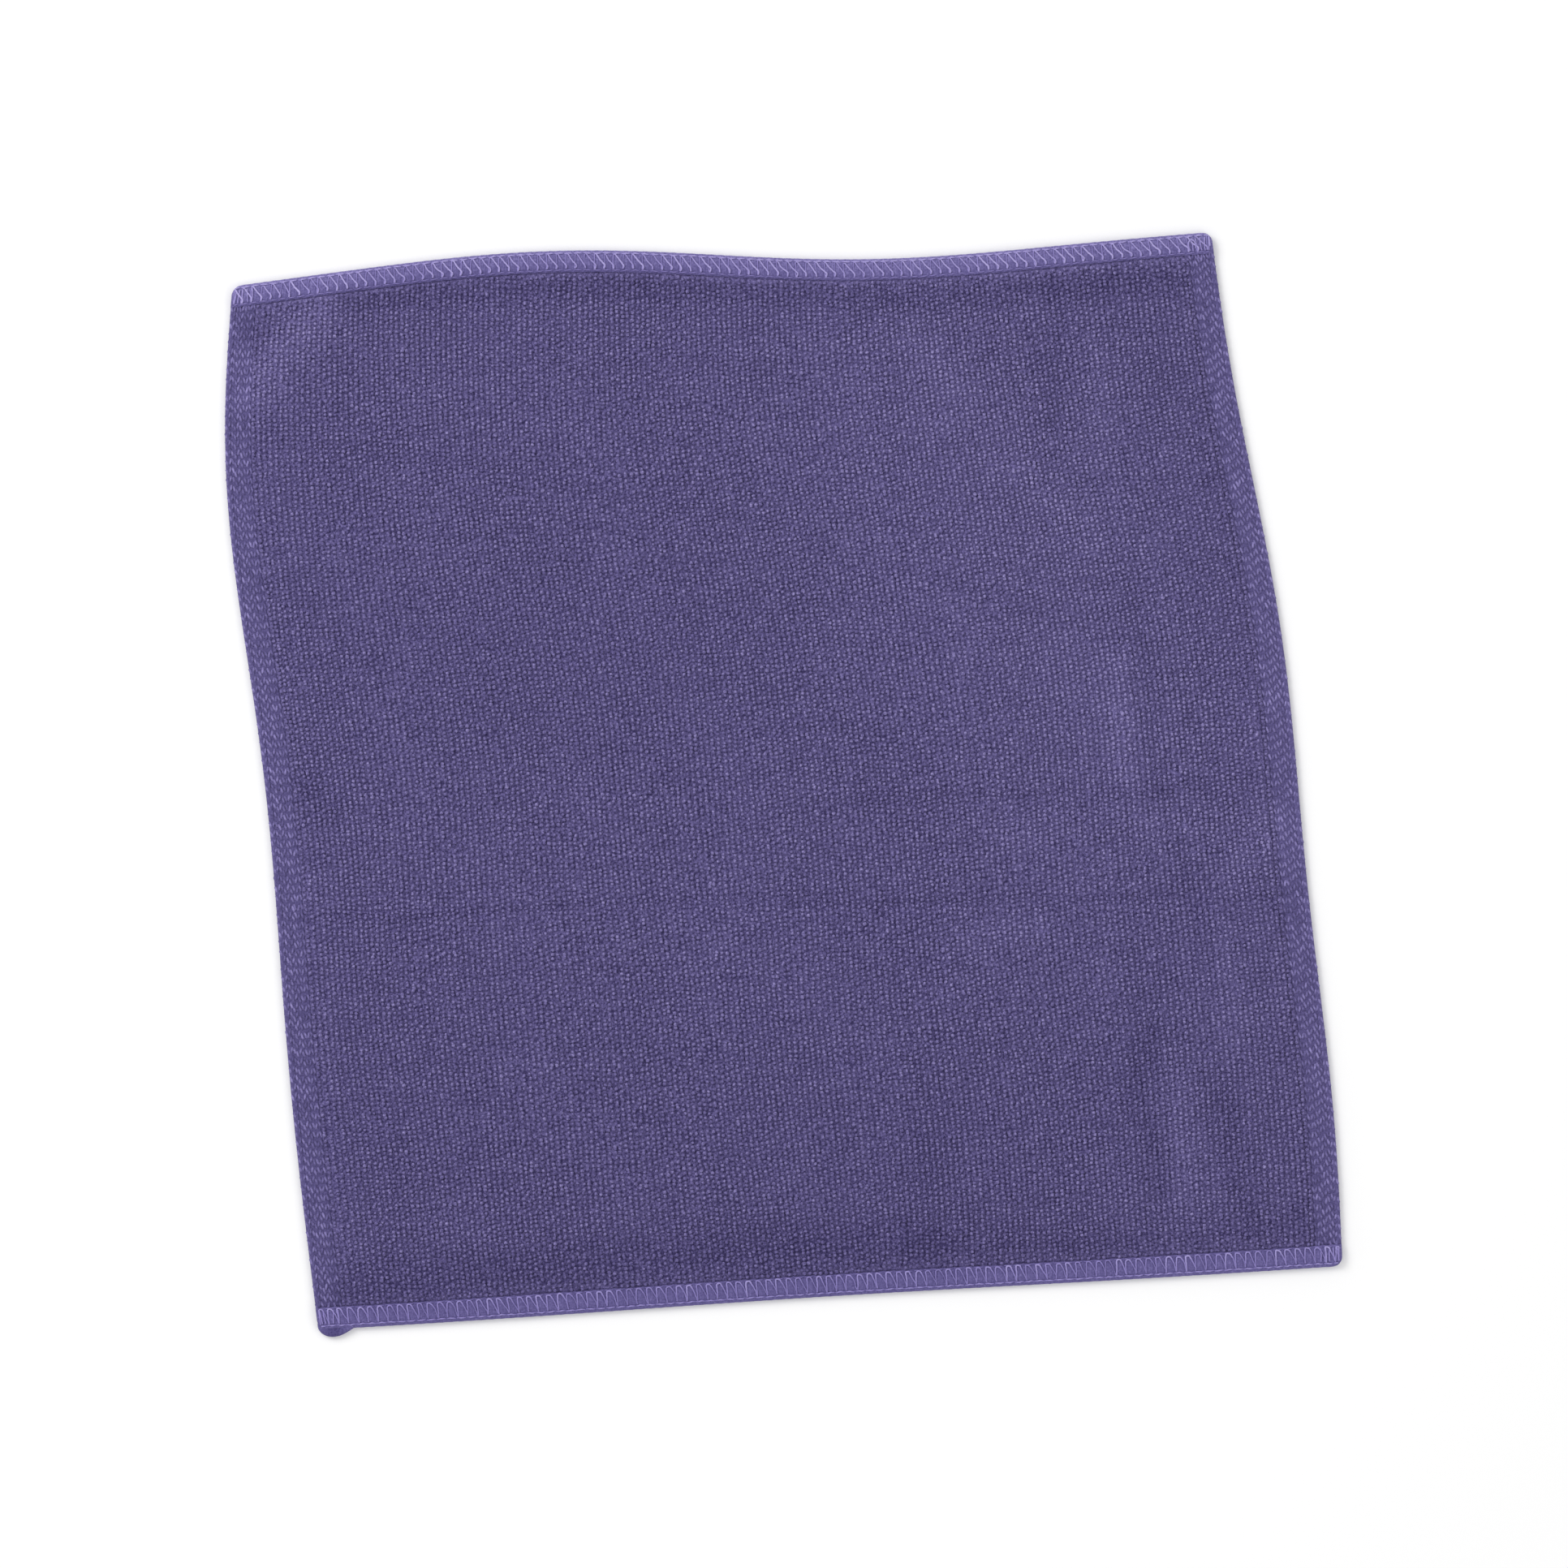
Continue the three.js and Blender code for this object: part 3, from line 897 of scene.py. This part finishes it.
BOTTOM_HEM = Hem(
    "bottom",
    up_towel=lambda inward: inward,
    chain=1.15 * MM,
    needle=6.1 * MM,
    flap_edge=6.65 * MM,
    run_on=1.1 * MM,
    hook=-0.2 * MM,
    thickness=(0.9, 1.0, 1.08, 1.08, 0.82, 0.82),
)
TOP_HEM = Hem(
    "top",
    up_towel=lambda inward: LENGTH - inward,
    chain=0.85 * MM,
    needle=5.7 * MM,
    flap_edge=6.45 * MM,
    run_on=0.4 * MM,
    hook=0.4 * MM,
    thickness=(1.08, 0.76, 0.76, 0.95, 1.07, 1.17),
)


def hem_puff(hem, s, inward):
    """How far the pressed knit swells between the seam's stitches and sinks under them."""
    stitch = np.pi * (s - SEAM_START) / STITCH_PITCH
    between_rows = bell(inward, (hem.chain + hem.needle) / 2, 1.9 * MM)
    puff = 0.09 * MM * np.sin(stitch) ** 2 * between_rows
    puff = puff - 0.16 * MM * bell(inward, hem.chain, 0.35 * MM)
    return puff - 0.14 * MM * bell(inward, hem.needle, 0.35 * MM)


def hem_section(flap_edge):
    """The C-shaped section of the turned-over knit, from the flap's cut edge over the top,
    round the fold and back, then round the slot. Each point is (distance from the fold's
    edge, height, share of the stitches' puff: 1 above, -1 below, 0 elsewhere)."""
    top_x = np.linspace(flap_edge - 0.08 * MM, 1.0 * MM, 19)
    droop = 0.35 * MM * np.maximum(1 - (flap_edge - top_x) / (0.8 * MM), 0) ** 2
    top = [np.stack([top_x, HEM_TOP - droop, np.ones(19)], -1)]
    turn = np.linspace(0, np.pi, 12)
    middle = (HEM_TOP + HEM_BOTTOM) / 2
    rim_x = FOLD_RADIUS - FOLD_RADIUS * np.sin(turn)
    rim_y = middle + FOLD_RADIUS * np.cos(turn)
    rim = [np.stack([rim_x, rim_y, np.zeros(12)], -1)]
    below_x = np.linspace(1.3, 6.2, 8) * MM
    below = [np.stack([below_x, np.full(8, HEM_BOTTOM), np.full(8, -1)], -1)]
    slot_low = HEM_BOTTOM + PRESSED_KNIT
    slot_high = HEM_TOP - PRESSED_KNIT
    inner = [
        [flap_edge, HEM_BOTTOM + 0.15 * MM, 0],
        [flap_edge, slot_low, 0],
        [FOLD_RADIUS, slot_low, 0],
        [FOLD_RADIUS, slot_high, 0],
        [flap_edge, slot_high, 0],
        [flap_edge, HEM_TOP - 0.5 * MM, 0],
    ]
    return np.concatenate(top + rim + below + [inner])


def hem_shell(hem):
    """The hem band: its section carried along the hem, puffed between the stitches. Its cut
    edge is drawn back a little between them, and its rim is pinched at each one."""
    section = hem_section(hem.flap_edge)
    count = round(WIDTH / RING_STEP)
    along = np.linspace(0, 1, count)[:, None]
    inward = section[:, 0][None]
    inset = corner_inset(inward)
    s = inset + along * (WIDTH - 2 * inset)
    stitch = np.pi * (s - SEAM_START) / STITCH_PITCH
    pinch = 0.07 * MM * np.cos(stitch) ** 2 * bell(inward, 0, 0.7 * MM)
    ragged = 0.14 * MM * np.sin(stitch) ** 2 * bell(inward, hem.flap_edge, 0.5 * MM)
    inward = inward + pinch - ragged
    puff = hem_puff(hem, s, inward)
    height = section[:, 1][None] + section[:, 2][None] * puff
    t = hem.up_towel(inward)
    rows = cloth(s, t, height)
    # Painted light and shade: the pressed knit is painted lighter where it puffs up between the
    # stitches and darker where it sinks under the rows of stitches.
    tone = painted_shading_at(s, t) + 0.8 * puff / MM * np.abs(section[:, 2])
    return loft(rows, tone, np.stack([s, t], -1))


def rounded(points, spacing, rounding):
    """Points every spacing along a line of straight runs, its corners rounded by a running
    mean over rounding of them."""
    runs = np.linalg.norm(np.diff(points, axis=0), axis=-1)
    reached = np.concatenate([[0], np.cumsum(runs)])
    at = np.arange(0, reached[-1], spacing)
    dense = np.stack([np.interp(at, reached, column) for column in points.T], -1)
    half = rounding // 2
    padded = np.pad(dense, ((half, half), (0, 0)), mode="edge")
    share = np.full(rounding, 1 / rounding)
    return np.stack([np.convolve(column, share, mode="valid") for column in padded.T], -1)


THREAD_HALF_WIDTH = 0.26 * MM
THREAD_SIDES = 6
PLY_TWIST = 0.55  # how far a thread's plies turn from one point to the next, in radians
THREAD_SPACING = 0.36 * MM
ROW_START = 0.9 * MM  # the rows of stitches begin and end this far from the side edges
PRESSED_IN = 0.3  # the threads below are pressed into the knit, to this share of their height


def thread_shell(hem, line, face):
    """A three-ply thread along a line of (s, distance from the fold, height over the hem's
    face, half-width). Where it is drawn thinner it is painted darker: painted shade where it
    sinks into the needle holes. Face is 1 above the hem, -1 below."""
    s, inward, over, half_width = line.T
    t = hem.up_towel(inward)
    if face > 0:
        height = HEM_TOP + hem_puff(hem, s, inward) + over
    else:
        height = HEM_BOTTOM - PRESSED_IN * over
    path = cloth(s, t, height)
    run = unit(np.gradient(path, axis=0))
    across = unit(np.cross(run, [0.0, 0.0, 1.0]))
    # Painted shade: thinner parts of the thread, as where it dips into a needle hole, are
    # painted darker.
    tone = painted_shading_at(s, t) + 0.9 * (half_width / THREAD_HALF_WIDTH - 0.9)
    wide = half_width[1:-1]
    return yarn(
        path[None],
        across[None, 1:-1],
        wide[None],
        0.8 * wide[None],
        tone[None],
        np.stack([s, t], -1)[None],
        THREAD_SIDES,
        twist=PLY_TWIST,
        lobe=0.2,
    )


def row_line(inset, dip, thickness):
    """A row of stitches along the hem: the thread shows between two needle holes and dips
    into the knit at each, so its height follows the sine between the holes."""
    s = np.arange(ROW_START, WIDTH - ROW_START, THREAD_SPACING)
    stitch = np.pi * (s - SEAM_START) / STITCH_PITCH
    shown = np.abs(np.sin(stitch))
    over = 0.2 * MM - dip * (1 - shown) ** 2
    wander = 0.06 * MM * np.sin(2.3 * stitch) + 0.04 * MM * np.sin(0.71 * stitch)
    half_width = THREAD_HALF_WIDTH * thickness * (0.7 + 0.3 * shown)
    return np.stack([s, inset + wander, over, half_width], -1)


def looper_line(hem, shift):
    """A looper thread: straight up the towel across the seam, on along the row there, and
    back on a slant that meets the next stitch a little above its low end, or hooks past it."""
    chance = SOURCE_OF_CHANCE
    outer = hem.chain + 0.1 * MM
    inner = hem.needle - 0.1 * MM
    starts_low = hem.up_towel(outer) < hem.up_towel(inner)
    low, high = (outer, inner) if starts_low else (inner, outer)
    number = np.arange(-1, STITCH_COUNT + 1)
    count = len(number)
    s = SEAM_START + (number + 0.4 + shift) * STITCH_PITCH
    s_low = s + chance.normal(0, 0.12 * MM, count)
    s_high = s + chance.normal(0, 0.14 * MM, count)
    bow = chance.normal(0, 0.12 * MM, count)
    s_corners = [
        s_low,
        (s_low + s_high) / 2 + bow,
        s_high,
        s_high + hem.run_on,
        s_high + (STITCH_PITCH + hem.run_on) / 2 - bow,
        s_low + STITCH_PITCH + hem.hook,
    ]
    share = np.array([0, 0.5, 1, 1, 0.62, 0.25])
    inward = low + (high - low) * share + chance.normal(0, 0.1 * MM, (count, 6))
    over = np.broadcast_to(np.array([0.2, 0.12, 0.2, 0.3, 0.3, 0.26]) * MM, (count, 6))
    slack = chance.normal(1, 0.08, (count, 1))
    half_width = THREAD_HALF_WIDTH * hem.thickness * slack
    corners = np.stack([np.stack(s_corners, -1), inward, over, half_width], -1)
    line = rounded(corners.reshape(-1, 4), THREAD_SPACING, 3)
    line[:, 0] = np.clip(line[:, 0], ROW_START, WIDTH - ROW_START)
    return line


END_BARS = (1.2, 2.3, 3.5, 4.8, 6.2)  # mm from each side edge


def end_bars(hem):
    """The seam's ends are sewn over again: short rungs between the regular ones."""
    shells = []
    for offset in END_BARS:
        for s in (offset * MM, WIDTH - offset * MM):
            reach = np.linspace(hem.chain + 0.4 * MM, hem.needle - 0.2 * MM, 12)
            sway = s + 0.2 * MM * np.sin(np.linspace(0, 3, 12) + offset)
            over = np.full(12, 0.22 * MM)
            line = np.stack([sway, reach, over, np.full(12, 0.95 * THREAD_HALF_WIDTH)], -1)
            shells.append(thread_shell(hem, line, 1))
    return shells


def stray_loop():
    """A slack loop of the upper looper thread near the top hem's right end."""
    turn = np.linspace(-0.2 * np.pi, 1.35 * np.pi, 26)
    s = WIDTH - 6.2 * MM + 1.1 * MM * np.cos(turn)
    inward = 3.6 * MM - 1.7 * MM * np.sin(turn)
    over = 0.45 * MM + 0.15 * MM * np.sin(turn)
    return np.stack([s, inward, over, np.full(26, THREAD_HALF_WIDTH)], -1)


def tuck_shell():
    """The end of the left selvedge, tucked into the bottom hem's corner: a roll that starts
    inside the hem's rounded corner and bulges out below it, round at its crest and oval in
    section. Each row gives the middle of the roll and its half-width, in millimetres."""
    course = np.array(
        [
            (0.3, 2.6, 0.1),
            (0.5, 1.4, 0.75),
            (1.2, 0.2, 1.15),
            (2.6, -0.7, 1.35),
            (4.4, -0.95, 1.35),
            (6.2, -0.7, 1.25),
            (7.9, -0.15, 1.0),
            (9.6, 0.35, 0.65),
            (11.0, 0.6, 0.1),
        ]
    )
    roll = rounded(course * MM, 0.4 * MM, 5)
    s, t, half_width = roll.T
    height = np.full(len(roll), (HEM_TOP + HEM_BOTTOM) / 2)
    path = cloth(s, t, height)
    run = unit(np.gradient(path, axis=0))
    across = unit(np.cross(run, [0.0, 0.0, 1.0]))
    tall = np.minimum(0.97 * FOLD_RADIUS, half_width[1:-1])
    # Painted shade: the roll is painted darker round 4.5 mm from the side edge, where it bulges
    # furthest below the hem.
    tone = (0.95 - 0.25 * bell(s, 4.5 * MM, 3 * MM))[None]
    flat = np.stack([s, t], -1)[None]
    wide = half_width[None, 1:-1]
    return yarn(path[None], across[None, 1:-1], wide, tall, tone, flat, 16)


def add_hem(hem, knit, thread):
    """One hem: its band and its four threads."""
    band = f"{hem.name}_hem_band"
    pieces = [add_piece(band, [hem_shell(hem)], knit, "hem_knit", f"{hem.name}_hem_fold")]

    def add_thread(part, shells, replaced):
        name = f"{hem.name}_hem_{part}"
        replaced = f"{hem.name}_hem_{replaced}"
        pieces.append(add_piece(name, shells, thread, "seam_thread", replaced))

    needle = thread_shell(hem, row_line(hem.needle, 0.5 * MM, 0.8), 1)
    add_thread("needle_stitches", [needle], "needle_thread")
    chain = thread_shell(hem, row_line(hem.chain, 0.35 * MM, 1.05), 1)
    add_thread("chain_stitches", [chain], "edge_chain")
    upper = [thread_shell(hem, looper_line(hem, -0.15), 1), *end_bars(hem)]
    if hem is TOP_HEM:
        upper.append(thread_shell(hem, stray_loop(), 1))
    add_thread("upper_looper_stitches", upper, "upper_looper_thread")
    lower = thread_shell(hem, looper_line(hem, 0.1), -1)
    add_thread("lower_looper_stitches", [lower], "lower_looper_thread")
    return pieces


def add_towel():
    """Every piece of the towel."""
    loops = microfibre_loops()
    ground_knit = ribbed_knit(
        "Ground knit of the pile cloth, dyed",
        [(0.0, "#3C3562"), (1.0, "#9A90C2"), (0.5, "#6F669B")],
        grain=1.5,
        rib=WALE_PITCH,
        rib_depth=0.25 * MM,
        sheen=0.15,
    )
    selvedge_knit = ribbed_knit(
        "Selvedge knit, slanted stitches, dyed",
        [(0.0, "#332C58"), (1.0, "#9A90C8"), (0.5, "#655D90")],
        grain=0.6,
        rib=0.5 * MM,
        rib_depth=0.05 * MM,
        sheen=0.25,
    )
    hem_knit = ribbed_knit(
        "Pressed hem knit, dyed",
        [(0.0, "#383162"), (1.0, "#A096D0"), (0.5, "#665E93")],
        grain=0.6,
        rib=0.8 * MM,
        rib_depth=0.08 * MM,
        sheen=0.25,
    )
    thread = overlock_thread()

    sheet = add_knit(loops, ground_knit)
    pieces = [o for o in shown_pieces() if "pile_strip" in o.name]
    left = selvedge_shells(lambda x: x)
    right = selvedge_shells(lambda x: WIDTH - x)
    slot = "selvedge_knit"
    pieces.append(add_piece("left_selvedge_band", left, selvedge_knit, slot, "left_selvedge"))
    pieces.append(add_piece("right_selvedge_band", right, selvedge_knit, slot, "right_selvedge"))
    tuck = [tuck_shell()]
    pieces.append(add_piece("bottom_left_tuck_roll", tuck, hem_knit, slot, "bottom_left_tuck"))
    pieces += add_hem(BOTTOM_HEM, hem_knit, thread)
    pieces += add_hem(TOP_HEM, hem_knit, thread)


add_camera()
add_studio()
add_table()
add_towel()
